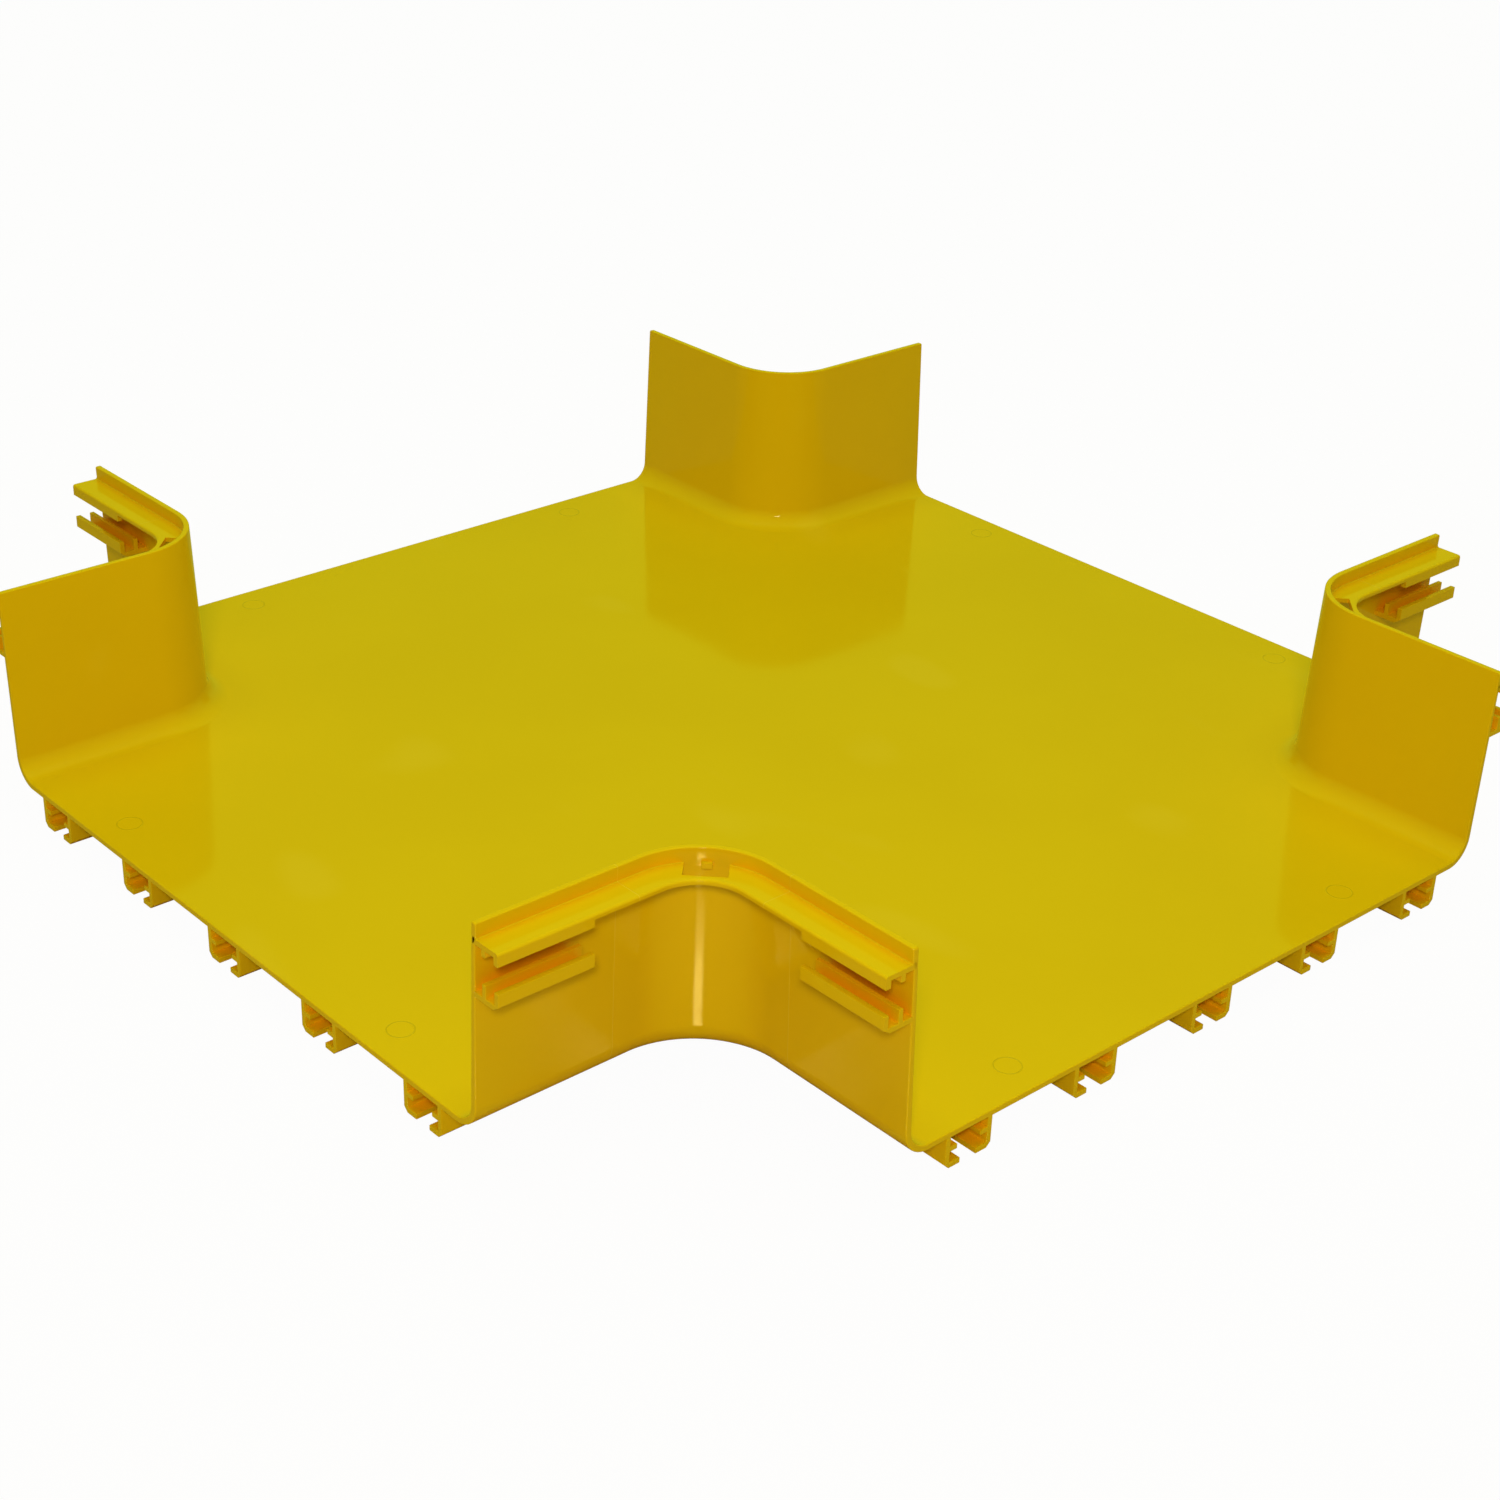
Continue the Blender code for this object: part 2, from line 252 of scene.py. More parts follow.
def trough_surface():
    """Trough side of one corner: its wall, its share of the floor and the radius between."""
    arm = HALF_LENGTH - BEND_CENTRE
    middle = (inner_face(LIP_TOP), BEND_CENTRE + arm / 2, FLOOR_TOP + WALL_HEIGHT / 2)
    obj = add_plane("trough", middle, (0, QUARTER_TURN, 0), (WALL_HEIGHT, arm, 1))
    foot = inner_face(FLOOR_TOP)
    bpy.ops.object.mode_set(mode="EDIT")
    pick("verts", lambda v: near(v.co.z, FLOOR_TOP))
    bpy.ops.transform.translate(value=(foot - inner_face(LIP_TOP), 0, 0))
    extrude(x=-foot)
    pick("edges", lambda e: all(near(v.co.y, BEND_CENTRE) for v in e.verts))
    carry_round_bend()
    extrude(x=arm)
    split((0, 0, LIP_STEP_LOW), (0, 0, 1))
    split((0, 0, LIP_STEP_HIGH), (0, 0, 1))
    pick("edges", lambda e: all(near(v.co.z, FLOOR_TOP) and near(wall_offset(v.co), foot)
                                for v in e.verts))
    tangent = FOOT_RADIUS * math.tan((QUARTER_TURN - WALL_DRAFT) / 2)
    bpy.ops.mesh.bevel(offset=tangent, segments=FOOT_STEPS, profile=ROUND_PROFILE,
                       affect="EDGES")
    pick("verts", lambda v: near(v.co.z, LIP_TOP) and near(max(v.co.x, v.co.y), HALF_LENGTH))
    bpy.ops.mesh.bevel(offset=LIP_CORNER_RADIUS, segments=LIP_CORNER_STEPS,
                       profile=ROUND_PROFILE, affect="VERTICES")
    bpy.ops.object.mode_set(mode="OBJECT")
    return obj


def middle_of_floor():
    """Fills the floor between the four corners."""
    bpy.ops.object.mode_set(mode="EDIT")
    pick("edges", lambda e: e.is_boundary and all(
        near(v.co.z, FLOOR_TOP) and near(wall_offset(Vector((abs(v.co.x), abs(v.co.y)))), 0)
        and max(abs(v.co.x), abs(v.co.y)) < BEND_CENTRE + CLOSE for v in e.verts))
    bpy.ops.mesh.edge_face_add()
    bpy.ops.mesh.select_all(action="SELECT")
    bpy.ops.mesh.normals_make_consistent(inside=False)
    bpy.ops.object.mode_set(mode="OBJECT")


def thickness_at(height):
    """Thickness at a height; the step out to the lip is hidden in the flange."""
    if height > LIP_STEP_HIGH - CLOSE:
        return LIP_THICKNESS
    return outer_face(height) - inner_face(height)


def make_trough():
    """Floor and four walls, given a thickness that thins upwards as far as the lips."""
    obj = trough_surface()
    mirror_to_four(obj)
    middle_of_floor()
    floor_faces = [f for f in obj.data.polygons if near(f.center.z, FLOOR_TOP)]
    if max(floor_faces, key=lambda f: f.area).normal.z < 0:
        obj.data.flip_normals()
    group = obj.vertex_groups.new(name="thickness")
    for vertex in obj.data.vertices:
        group.add([vertex.index], thickness_at(vertex.co.z) / FLOOR_THICKNESS, "REPLACE")
    apply_modifier(obj, "SOLIDIFY", thickness=FLOOR_THICKNESS, offset=-1, use_even_offset=True,
                   vertex_group=group.name)
    round_edges(obj, LIP_ROUND, 3)
    return obj


# Flange


def flange_section():
    """End face of the flange, split where the cove, the rib and the hook start."""
    width = SLOT_DEPTH + ROOT
    middle = (SLOT_BASE - ROOT + width / 2, HALF_LENGTH, FLANGE_TOP - FLANGE_THICKNESS / 2)
    obj = add_plane("flange", middle, (QUARTER_TURN, 0, 0), (width, FLANGE_THICKNESS, 1))
    cove_end = lip_face(FLANGE_TOP) + FLANGE_COVE
    rib = SLOT_BASE + RIB_SETBACK
    hook = SLOT_BASE + SLOT_DEPTH - LIP_RETURN
    bpy.ops.object.mode_set(mode="EDIT")
    for offset in (cove_end, rib, rib + RIB_THICKNESS, hook):
        split((offset, 0, 0), (1, 0, 0))
    return obj


def faces_of_strip(low, high, normal_z, in_slots):
    """Selects the faces of the flange between two offsets that point up or down."""
    def test(face):
        centre = face.calc_center_median()
        along = max(centre.x, centre.y)
        return (low < wall_offset(centre) < high and face.normal.z * normal_z > 0.9
                and (along > SLOT_START or not in_slots))
    pick("faces", test)


def pick_long_edges(offset, height):
    """Selects the edges that run along the wall and round the bend at an offset and a height."""
    pick("edges", lambda e: all(near(v.co.z, height) and abs(wall_offset(v.co) - offset) < ROOT / 4
                                for v in e.verts))


def make_flange():
    """Flange round the corner, with hook and rib at its ends and a cove along the lip."""
    obj = flange_section()
    bpy.ops.mesh.select_all(action="SELECT")
    extrude(y=-SLOT_LENGTH)
    extrude(y=BEND_CENTRE - SLOT_START)
    carry_round_bend()
    extrude(x=SLOT_START - BEND_CENTRE)
    extrude(x=SLOT_LENGTH)
    bpy.ops.mesh.select_all(action="SELECT")
    bpy.ops.mesh.remove_doubles(threshold=CLOSE)
    bpy.ops.mesh.normals_make_consistent(inside=False)
    rib = SLOT_BASE + RIB_SETBACK
    hook = SLOT_BASE + SLOT_DEPTH - LIP_RETURN
    edge = SLOT_BASE + SLOT_DEPTH
    faces_of_strip(rib, rib + RIB_THICKNESS, -1, True)
    extrude(z=FLANGE_THICKNESS - HOOK_RIB_REACH)
    faces_of_strip(hook, edge, -1, True)
    extrude(z=FLANGE_THICKNESS - HOOK_REACH)
    lip = lip_face(FLANGE_TOP)
    faces_of_strip(SLOT_BASE - ROOT, lip + FLANGE_COVE, 1, False)
    extrude(z=FLANGE_COVE)
    pick_long_edges(lip + FLANGE_COVE, FLANGE_TOP + FLANGE_COVE)
    bpy.ops.mesh.bevel(offset=FLANGE_COVE, segments=COVE_STEPS, profile=HOLLOW_PROFILE,
                       affect="EDGES", clamp_overlap=True)
    pick_long_edges(edge, FLANGE_TOP)
    bpy.ops.mesh.bevel(offset=FLANGE_EDGE_RADIUS, segments=FLANGE_EDGE_STEPS,
                       profile=ROUND_PROFILE, affect="EDGES")
    clean_flat_faces()
    bpy.ops.object.mode_set(mode="OBJECT")
    cut_notch(obj)
    round_edges(obj, FINE_ROUND)
    mirror_to_four(obj)
    return obj


def diagonal_place(distance):
    """Both coordinates of the point on the diagonal at a distance from the bend's axis."""
    return BEND_CENTRE - distance / math.sqrt(2)


def cut_notch(flange):
    """Cuts the notch, which leaves a strip along the flange's front edge."""
    flange_edge = BEND_CENTRE - SLOT_BASE - SLOT_DEPTH
    front = flange_edge + NOTCH_EDGE_MARGIN
    back = front + 2 * SLOT_DEPTH
    reach = diagonal_place((front + back) / 2)
    height = 4 * FLANGE_THICKNESS
    cutter = add_cube("notch", (reach, reach, FLANGE_TOP), (back - front, NOTCH_WIDTH, height),
                      (0, 0, QUARTER_TURN / 2))
    apply_modifier(flange, "BOOLEAN", operation="DIFFERENCE", object=cutter, solver="EXACT")
    bpy.data.objects.remove(cutter)


def make_pins():
    """Small pins on the lips behind the notches."""
    lip = BEND_CENTRE - lip_face(FLANGE_TOP)
    reach = diagonal_place(lip - PIN_REACH / 2 + ROOT)
    pin = add_cube("pin", (reach, reach, FLANGE_TOP + PIN_LIFT - PIN_HEIGHT / 2),
                   (PIN_REACH + 2 * ROOT, PIN_WIDTH, PIN_HEIGHT), (0, 0, QUARTER_TURN / 2))
    round_edges(pin, FINE_ROUND)
    mirror_to_four(pin)
    return pin


# Bracket slots


def bracket_leg(name, lip_reach, rib_reach, chamfer):
    """One side of a slot: a leg along X with its base at z = 0, the slot on its +Y side."""
    depth = SLOT_DEPTH + ROOT
    leg = add_cube(name, (SLOT_LENGTH / 2, LEG_THICKNESS / 2, ROOT - depth / 2),
                   (SLOT_LENGTH, LEG_THICKNESS, depth))
    lip = LIP_RETURN - SLOT_DEPTH
    rib_top = -RIB_SETBACK
    rib_bottom = rib_top - RIB_THICKNESS
    bpy.ops.object.mode_set(mode="EDIT")
    pick("edges", lambda e: all(near(v.co.z, -SLOT_DEPTH) and near(v.co.y, 0) for v in e.verts))
    bpy.ops.mesh.bevel(offset=chamfer, segments=1, affect="EDGES", clamp_overlap=False)
    for level in (rib_top, rib_bottom, lip):
        split((0, 0, level), (0, 0, 1))
    pick("faces", lambda f: f.normal.y > 0.9 and rib_bottom < f.calc_center_median().z < rib_top)
    extrude(y=rib_reach - LEG_THICKNESS)
    pick("faces", lambda f: f.normal.y > 0.9 and f.calc_center_median().z < lip)
    extrude(y=lip_reach - LEG_THICKNESS)
    clean_flat_faces()
    bpy.ops.object.mode_set(mode="OBJECT")
    round_edges(leg, FINE_ROUND)
    return leg


def make_floor_slots():
    """Legs of the slots under the floor, two to a slot, at all four openings."""
    leg = bracket_leg("floor_leg", FLOOR_LIP_REACH, FLOOR_RIB_REACH, FLOOR_CHAMFER)
    across = Matrix.Diagonal((1, -1, 1, 1))
    legs = []
    for opening in range(4):
        turn = Matrix.Rotation(opening * QUARTER_TURN, 4, "Z")
        for i in range(SLOTS_PER_OPENING):
            middle = (i - (SLOTS_PER_OPENING - 1) / 2) * SLOT_PITCH
            left = Matrix.Translation((SLOT_START, middle - SLOT_WIDTH / 2, FLOOR_UNDERSIDE))
            right = Matrix.Translation((SLOT_START, middle + SLOT_WIDTH / 2, FLOOR_UNDERSIDE))
            legs.append(place_copy(leg, "floor_leg_left", turn @ left))
            legs.append(place_copy(leg, "floor_leg_right", turn @ right @ across))
    bpy.data.objects.remove(leg)
    return legs


def make_side_rails():
    """Rails on the walls under the ends of the flanges."""
    rail = bracket_leg("side_rail", RAIL_REACH, RAIL_REACH, RAIL_CHAMFER)
    stand_out = Matrix.Rotation(QUARTER_TURN, 4, "X")
    place = Matrix.Translation((SLOT_START, SLOT_BASE, FLANGE_TOP - SLOT_WIDTH)) @ stand_out
    swap_arms = Matrix(((0, 1, 0, 0), (1, 0, 0, 0), (0, 0, 1, 0), (0, 0, 0, 1)))
    rails = []
    for x in (1, -1):
        for y in (1, -1):
            side = Matrix.Diagonal((x, y, 1, 1))
            rails.append(place_copy(rail, "side_rail_x", side @ place))
            rails.append(place_copy(rail, "side_rail_y", side @ swap_arms @ place))
    bpy.data.objects.remove(rail)
    return rails


def join_moulding(parts):
    """Joins the parts into the one moulding and shades it smooth."""
    bpy.ops.object.select_all(action="DESELECT")
    for part in parts:
        part.select_set(True)
    bpy.context.view_layer.objects.active = parts[0]
    bpy.ops.object.join()
    moulding = bpy.context.object
    moulding.name = "cross_moulding"
    bpy.ops.object.shade_smooth_by_angle(angle=SMOOTH_ANGLE)
    apply_modifier(moulding, "WEIGHTED_NORMAL", keep_sharp=True, mode="FACE_AREA", weight=50)
    return moulding


# Finish

# Colours
PLASTIC_YELLOW = (0.78, 0.51, 0.002, 1)
FLOW_YELLOW = (0.765, 0.495, 0.002, 1)
# Lighter yellow: a painted highlight along the parting lines, and painted pale reflections in the
# smudge spots
PAINTED_HIGHLIGHT_YELLOW = (0.95, 0.72, 0.08, 1)
RING_YELLOW = (0.50, 0.36, 0.002, 1)
PAINTED_GLOW_ORANGE = (1.0, 0.48, 0.002, 1)
LINE_HIGHLIGHT_SHARE = 0.6
RING_SHARE = 0.5
PAINTED_SHEEN_SHARE = 0.08

# Gloss
SPECULAR_LEVEL = 0.45
GLOSS = (0.07, 0.09)
SCRATCH_ROUGHNESS = 0.15
SMUDGE_ROUGHNESS = 0.03

# Relief in the skin, each as a depth in metres and a strength
WAVE_RELIEF = (0.002, 0.12)
PEEL_RELIEF = (0.0002, 0.08)
RING_RELIEF = (0.0003, 0.5)
LINE_RELIEF = (0.0002, 0.4)

# Places and sizes of the mould's marks
RING_OUT = 0.2755
RING_ACROSS = 0.1062
RING_RADIUS = 0.0057
RING_WIDTH = 0.0005
PARTING_LINE = 0.227
PARTING_WIDTH = 0.0002

# Crevices get a painted orange glow where the moulding hides them from itself, in place of the
# light that bounces inside the plastic
CREVICE_REACH = 0.02
CREVICE_SAMPLES = 4
CREVICE_FULL = 0.2
CREVICE_NONE = 0.55

# Scale of the skin's patterns, per metre
WAVE_SCALE = 14
PEEL_SCALE = 700
FLOW_SCALE = 9
SCRATCH_SCALE = 260
CROSSING_SCALE = 220
SCRATCH_PATCH_SCALE = 12
SMUDGE_AND_SHEEN_SCALE = 24


class NodeBench:
    """Adds nodes to a tree and wires them, one short line for each."""

    def __init__(self, tree):
        self.tree = tree

    def add(self, kind, **values):
        node = self.tree.nodes.new("ShaderNode" + kind)
        for key, value in values.items():
            setattr(node, key, value)
        return node

    def feed(self, socket, value):
        if isinstance(value, bpy.types.NodeSocket):
            self.tree.links.new(value, socket)
        else:
            socket.default_value = value

    def math(self, operation, first, second=0.0):
        node = self.add("Math", operation=operation)
        self.feed(node.inputs[0], first)
        self.feed(node.inputs[1], second)
        return node.outputs[0]

    def ramp(self, value, low, high, to_low=0.0, to_high=1.0):
        """Eases a value from one range into another, without going past its ends."""
        node = self.add("MapRange", interpolation_type="SMOOTHSTEP")
        self.feed(node.inputs["Value"], value)
        for name, number in zip(("From Min", "From Max", "To Min", "To Max"),
                                (low, high, to_low, to_high)):
            self.feed(node.inputs[name], number)
        return node.outputs["Result"]

    def noise(self, place, scale, detail, stretch=None):
        """Noise, drawn out along a direction where stretch gives its angle and its squeeze."""
        if stretch:
            mapping = self.add("Mapping")
            self.feed(mapping.inputs["Vector"], place)
            self.feed(mapping.inputs["Rotation"], (0, 0, stretch[0]))
            self.feed(mapping.inputs["Scale"], (stretch[1], 1, 1))
            place = mapping.outputs[0]
        node = self.add("TexNoise")
        self.feed(node.inputs["Vector"], place)
        self.feed(node.inputs["Scale"], scale)
        self.feed(node.inputs["Detail"], detail)
        return node.outputs["Fac"]

    def blend(self, share, first, second):
        node = self.add("Mix", data_type="RGBA")
        self.feed(node.inputs["Factor"], share)
        self.feed(node.inputs["A"], first)
        self.feed(node.inputs["B"], second)
        return node.outputs["Result"]

    def bump(self, height, distance, strength, normal=None):
        node = self.add("Bump")
        self.feed(node.inputs["Height"], height)
        self.feed(node.inputs["Distance"], distance)
        self.feed(node.inputs["Strength"], strength)
        if normal:
            self.feed(node.inputs["Normal"], normal)
        return node.outputs["Normal"]


def new_group(name, inputs, outputs):
    """An empty node group with its sockets, and the bench, the inputs and the output node."""
    group = bpy.data.node_groups.new(name, "ShaderNodeTree")
    for socket, kind in inputs:
        group.interface.new_socket(socket, in_out="INPUT", socket_type="NodeSocket" + kind)
    for socket, kind in outputs:
        group.interface.new_socket(socket, in_out="OUTPUT", socket_type="NodeSocket" + kind)
    source = group.nodes.new("NodeGroupInput")
    result = group.nodes.new("NodeGroupOutput")
    return group, NodeBench(group), source.outputs, result.inputs


def mould_marks():
    """Marks of the mould: ejector rings on the floor, and parting lines on the walls' outer sides,
    which the material also lightens as a painted highlight.
    """
    group, bench, given, result = new_group(
        "mould_marks", [("Position", "Vector")],
        [("Ring", "Float"), ("Line", "Float")])
    parts = bench.add("SeparateXYZ")
    bench.feed(parts.inputs[0], given["Position"])
    x = bench.math("ABSOLUTE", parts.outputs["X"])
    y = bench.math("ABSOLUTE", parts.outputs["Y"])
    height = parts.outputs["Z"]
    out = bench.math("MAXIMUM", x, y)
    across = bench.math("MINIMUM", x, y)
    along = bench.math("SUBTRACT", out, RING_OUT)
    aside = bench.math("SUBTRACT", across, RING_ACROSS)
    reach = bench.math("SQRT", bench.math("ADD", bench.math("MULTIPLY", along, along),
                                          bench.math("MULTIPLY", aside, aside)))
    from_ring = bench.math("ABSOLUTE", bench.math("SUBTRACT", reach, RING_RADIUS))
    ring = bench.ramp(from_ring, 0, RING_WIDTH, 1, 0)
    on_floor = bench.ramp(height, FLOOR_TOP + 0.001, FLOOR_TOP + 0.002, 1, 0)
    bench.feed(result["Ring"], bench.math("MULTIPLY", ring, on_floor))
    from_line = bench.math("ABSOLUTE", bench.math("SUBTRACT", out, PARTING_LINE))
    line = bench.ramp(from_line, 0, PARTING_WIDTH, 1, 0)
    lean = bench.math("MULTIPLY", height, math.tan(WALL_DRAFT))
    from_inside = bench.math("SUBTRACT", bench.math("SUBTRACT", across, lean), inner_face(0))
    outside = bench.ramp(from_inside, WALL_TOP_THICKNESS / 4, WALL_TOP_THICKNESS / 2)
    bench.feed(result["Line"], bench.math("MULTIPLY", line, outside))
    return group


def moulded_skin():
    """Skin of glossy plastic: slow waves, orange peel, flow clouds, scratches, and smudge spots
    that add roughness and carry painted pale reflections.
    """
    group, bench, given, result = new_group(
        "moulded_skin", [("Position", "Vector")],
        [("Waves", "Float"), ("Peel", "Float"), ("Flow", "Float"), ("Scratches", "Float"),
         ("Smudge_and_sheen", "Float")])
    place = given["Position"]
    bench.feed(result["Waves"], bench.noise(place, WAVE_SCALE, 1.0))
    bench.feed(result["Peel"], bench.noise(place, PEEL_SCALE, 2.0))
    bench.feed(result["Flow"], bench.ramp(bench.noise(place, FLOW_SCALE, 4.0), 0.35, 0.65))
    fine = bench.noise(place, SCRATCH_SCALE, 1.0, (0.7, 0.05))
    crossing = bench.noise(place, CROSSING_SCALE, 1.0, (2.2, 0.06))
    where = bench.ramp(bench.noise(place, SCRATCH_PATCH_SCALE, 1.0), 0.5, 0.7)
    lines = bench.math("MAXIMUM", bench.ramp(fine, 0.71, 0.75), bench.ramp(crossing, 0.72, 0.76))
    bench.feed(result["Scratches"], bench.math("MULTIPLY", lines, where))
    # Smudge spots: a little more roughness, and a lighter tone as painted pale reflections
    spots = bench.noise(place, SMUDGE_AND_SHEEN_SCALE, 0.0, (0.4, 0.6))
    bench.feed(result["Smudge_and_sheen"], bench.ramp(spots, 0.74, 0.86))
    return group


def yellow_plastic():
    """Glossy yellow moulded plastic, with the marks of its mould, a painted highlight on the
    parting lines, painted pale reflections in smudge spots and a painted orange glow in crevices.
    """
    material = bpy.data.materials.new("yellow_plastic")
    material.use_nodes = True
    bench = NodeBench(material.node_tree)
    shader = material.node_tree.nodes["Principled BSDF"]
    place = bench.add("TexCoord").outputs["Object"]
    marks = bench.add("Group", node_tree=mould_marks())
    skin = bench.add("Group", node_tree=moulded_skin())
    bench.feed(marks.inputs["Position"], place)
    bench.feed(skin.inputs["Position"], place)
    colour = bench.blend(skin.outputs["Flow"], FLOW_YELLOW, PLASTIC_YELLOW)
    # Parting lines are lightened as a painted highlight, and smudge spots as painted pale
    # reflections
    for mask, share, mark_colour in ((marks.outputs["Line"], LINE_HIGHLIGHT_SHARE, PAINTED_HIGHLIGHT_YELLOW),
                                     (marks.outputs["Ring"], RING_SHARE, RING_YELLOW),
                                     (skin.outputs["Smudge_and_sheen"], PAINTED_SHEEN_SHARE, PAINTED_HIGHLIGHT_YELLOW)):
        colour = bench.blend(bench.math("MULTIPLY", mask, share), colour, mark_colour)
    # Painted glow: orange is blended into the colour where the ambient occlusion is deep
    hidden = bench.add("AmbientOcclusion", samples=CREVICE_SAMPLES, only_local=True)
    bench.feed(hidden.inputs["Distance"], CREVICE_REACH)
    painted_glow = bench.ramp(hidden.outputs["AO"], CREVICE_FULL, CREVICE_NONE, 1, 0)
    colour = bench.blend(painted_glow, colour, PAINTED_GLOW_ORANGE)
    bench.feed(shader.inputs["Base Color"], colour)
    rough = bench.ramp(skin.outputs["Flow"], 0, 1, *GLOSS)
    for mask, added in ((skin.outputs["Scratches"], SCRATCH_ROUGHNESS),
                        (skin.outputs["Smudge_and_sheen"], SMUDGE_ROUGHNESS)):
        rough = bench.math("ADD", rough, bench.math("MULTIPLY", mask, added))
    bench.feed(shader.inputs["Roughness"], rough)
    bench.feed(shader.inputs["Specular IOR Level"], SPECULAR_LEVEL)
    normal = None
    for height, relief in ((skin.outputs["Waves"], WAVE_RELIEF),
                           (skin.outputs["Peel"], PEEL_RELIEF),
                           (marks.outputs["Ring"], RING_RELIEF),
                           (marks.outputs["Line"], LINE_RELIEF)):
        normal = bench.bump(height, *relief, normal)
    bench.feed(shader.inputs["Normal"], normal)
    return material


# Studio

# Floor: the colour of the light that it throws back, and its colour in reflections
FLOOR_SPREAD = 30
FLOOR_WHITENESS = 0.97
FLOOR_PAINT = (0.68, 0.55, 0.45, 1)
FLOOR_IN_GLOSS = (0.70, 0.60, 0.25, 1)
FLOOR_MIRROR = 0.6
FLOOR_ROUGHNESS = 0.08

# Room, as light on the fitting and as its gloss reflects it
LIGHT_ABOVE = (0.196, 0.238, 0.17, 1)
LIGHT_AROUND = (0.281, 0.235, 0.12, 1)
ROOM_ABOVE = (0.85, 1.03, 0.03, 1)
ROOM_AROUND = (0.60, 0.70, 0.03, 1)

# Lamps, in watts and metres; the glint is seen only in reflections
OVERHEAD_POWER = 17.2
OVERHEAD_COLOUR = (0.83, 1.02, 0.5)
OVERHEAD_HEIGHT = 1.9
OVERHEAD_SIZE = 1.6
FLASH_POWER = 10.8
FLASH_COLOUR = (1.0, 0.88, 0.5)
FLASH_AZIMUTH = math.radians(47)
FLASH_ELEVATION = math.radians(33)
FLASH_DISTANCE = 1.8
FLASH_SIZE = 0.2
GLINT_POWER = 1.0
GLINT_SIZE = (0.15, 0.10)
GLINT_BEHIND = 0.02

# Camera, as measured on the photograph
VIEW_AZIMUTH = math.radians(47.600)
VIEW_ELEVATION = math.radians(27.589)
VIEW_ROLL = math.radians(1.925)
VIEW_PLACE = Vector((0.8196, -0.7451, 0.5878))
SENSOR_MM = 36.0
LENS_MM = 61.46


def studio_floor():
    """White for the camera, with the fitting's shadow, and part mirror for the gloss."""
    bpy.ops.object.select_all(action="DESELECT")
    bpy.ops.mesh.primitive_plane_add(size=FLOOR_SPREAD, location=(0, 0, 0))
    floor = bpy.context.object
    floor.name = "studio_floor"
    material = bpy.data.materials.new("studio_floor")
    material.use_nodes = True
    bench = NodeBench(material.node_tree)
    shader = material.node_tree.nodes["Principled BSDF"]
    rays = bench.add("LightPath").outputs
    colour = bench.blend(rays["Is Glossy Ray"], FLOOR_PAINT, FLOOR_IN_GLOSS)
    bench.feed(shader.inputs["Base Color"], colour)
    mirror = bench.math("MULTIPLY", rays["Is Glossy Ray"], FLOOR_MIRROR)
    bench.feed(shader.inputs["Metallic"], mirror)
    bench.feed(shader.inputs["Roughness"], FLOOR_ROUGHNESS)
    mix = bench.add("MixShader")
    bench.feed(mix.inputs["Fac"], bench.math("MULTIPLY", rays["Is Camera Ray"], FLOOR_WHITENESS))
    bench.feed(mix.inputs[1], shader.outputs[0])
    bench.feed(mix.inputs[2], bench.add("Emission").outputs[0])
    bench.feed(material.node_tree.nodes["Material Output"].inputs["Surface"], mix.outputs[0])
    floor.data.materials.append(material)


def studio_world():
    """Soft even light from all round, which the camera sees as plain white."""
    world = bpy.data.worlds.new("studio")
    bpy.context.scene.world = world
    world.use_nodes = True
    bench = NodeBench(world.node_tree)
    rays = bench.add("LightPath").outputs
    mirrored = bench.math("MAXIMUM", rays["Is Glossy Ray"], rays["Is Transmission Ray"])
    parts = bench.add("SeparateXYZ")
    bench.feed(parts.inputs[0], bench.add("TexCoord").outputs["Generated"])
    height = bench.ramp(parts.outputs["Z"], 0, 1)
    light = bench.blend(height, LIGHT_AROUND, LIGHT_ABOVE)
    room = bench.blend(height, ROOM_AROUND, ROOM_ABOVE)
    colour = bench.blend(mirrored, light, room)
    colour = bench.blend(rays["Is Camera Ray"], colour, (1, 1, 1, 1))
    bench.feed(world.node_tree.nodes["Background"].inputs["Color"], colour)


def towards(azimuth, elevation):
    """Unit vector from the middle of the fitting outwards; azimuth 0 is the front."""
    flat = math.cos(elevation)
    return Vector((math.sin(azimuth) * flat, -math.cos(azimuth) * flat, math.sin(elevation)))


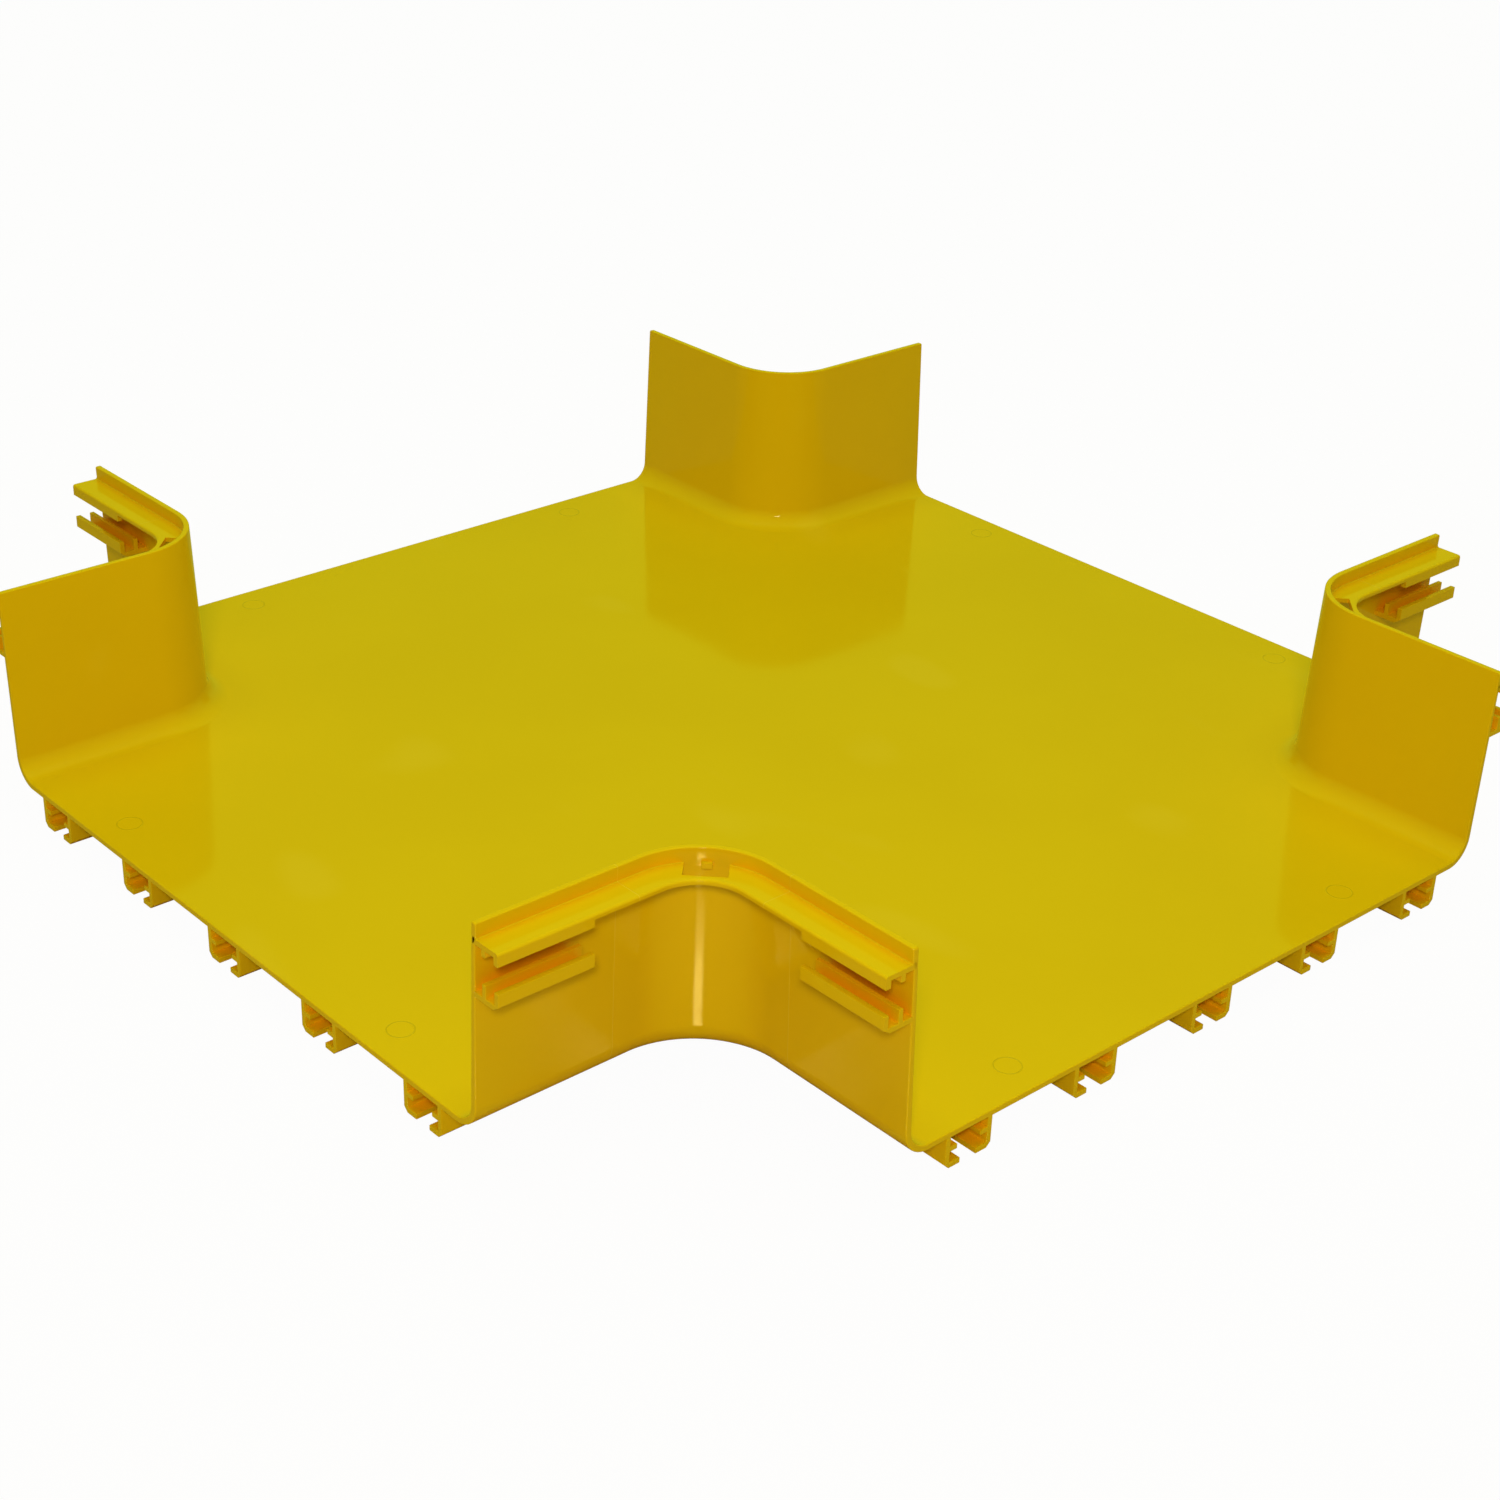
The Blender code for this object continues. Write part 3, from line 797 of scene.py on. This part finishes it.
def softbox(name, place, size, power, colour):
    """A rectangular lamp that points at the middle of the fitting."""
    data = bpy.data.lights.new(name, "AREA")
    data.shape = "RECTANGLE"
    data.size, data.size_y = size
    data.energy = power
    data.color = colour
    lamp = bpy.data.objects.new(name, data)
    bpy.context.scene.collection.objects.link(lamp)
    lamp.location = place
    lamp.rotation_euler = (Vector() - Vector(place)).to_track_quat("-Z", "Y").to_euler()
    return lamp


def studio_lamps():
    """Overhead light, a flash near the camera, and the glint that the flash leaves."""
    overhead = softbox("overhead", (0, 0, OVERHEAD_HEIGHT), (OVERHEAD_SIZE, OVERHEAD_SIZE),
                       OVERHEAD_POWER, OVERHEAD_COLOUR)
    overhead.visible_glossy = False
    flash_place = FLASH_DISTANCE * towards(FLASH_AZIMUTH, FLASH_ELEVATION)
    flash = softbox("flash", flash_place, (FLASH_SIZE, FLASH_SIZE), FLASH_POWER, FLASH_COLOUR)
    flash.visible_glossy = False
    glint_place = VIEW_PLACE + GLINT_BEHIND * towards(VIEW_AZIMUTH, VIEW_ELEVATION)
    glint = softbox("glint", glint_place, GLINT_SIZE, GLINT_POWER, FLASH_COLOUR)
    glint.visible_diffuse = False


def studio_camera():
    """Camera at the photograph's viewing angle, with its slight roll."""
    back = towards(VIEW_AZIMUTH, VIEW_ELEVATION)
    right = Vector((0, 0, 1)).cross(back).normalized()
    up = back.cross(right)
    upright = Matrix((right, up, back)).transposed().to_4x4()
    roll = Matrix.Rotation(VIEW_ROLL, 4, "Z")
    data = bpy.data.cameras.new("camera")
    data.sensor_width = SENSOR_MM
    data.lens = LENS_MM
    camera = bpy.data.objects.new("camera", data)
    bpy.context.scene.collection.objects.link(camera)
    camera.matrix_world = Matrix.Translation(VIEW_PLACE) @ upright @ roll
    bpy.context.scene.camera = camera


def main():
    parts = [make_trough(), make_flange(), make_pins()]
    parts += make_side_rails() + make_floor_slots()
    moulding = join_moulding(parts)
    moulding.data.materials.clear()
    moulding.data.materials.append(yellow_plastic())
    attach(moulding, "root")
    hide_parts("cross_body")
    studio_floor()
    studio_world()
    studio_lamps()
    studio_camera()
    bpy.context.scene.view_settings.view_transform = "Standard"


main()
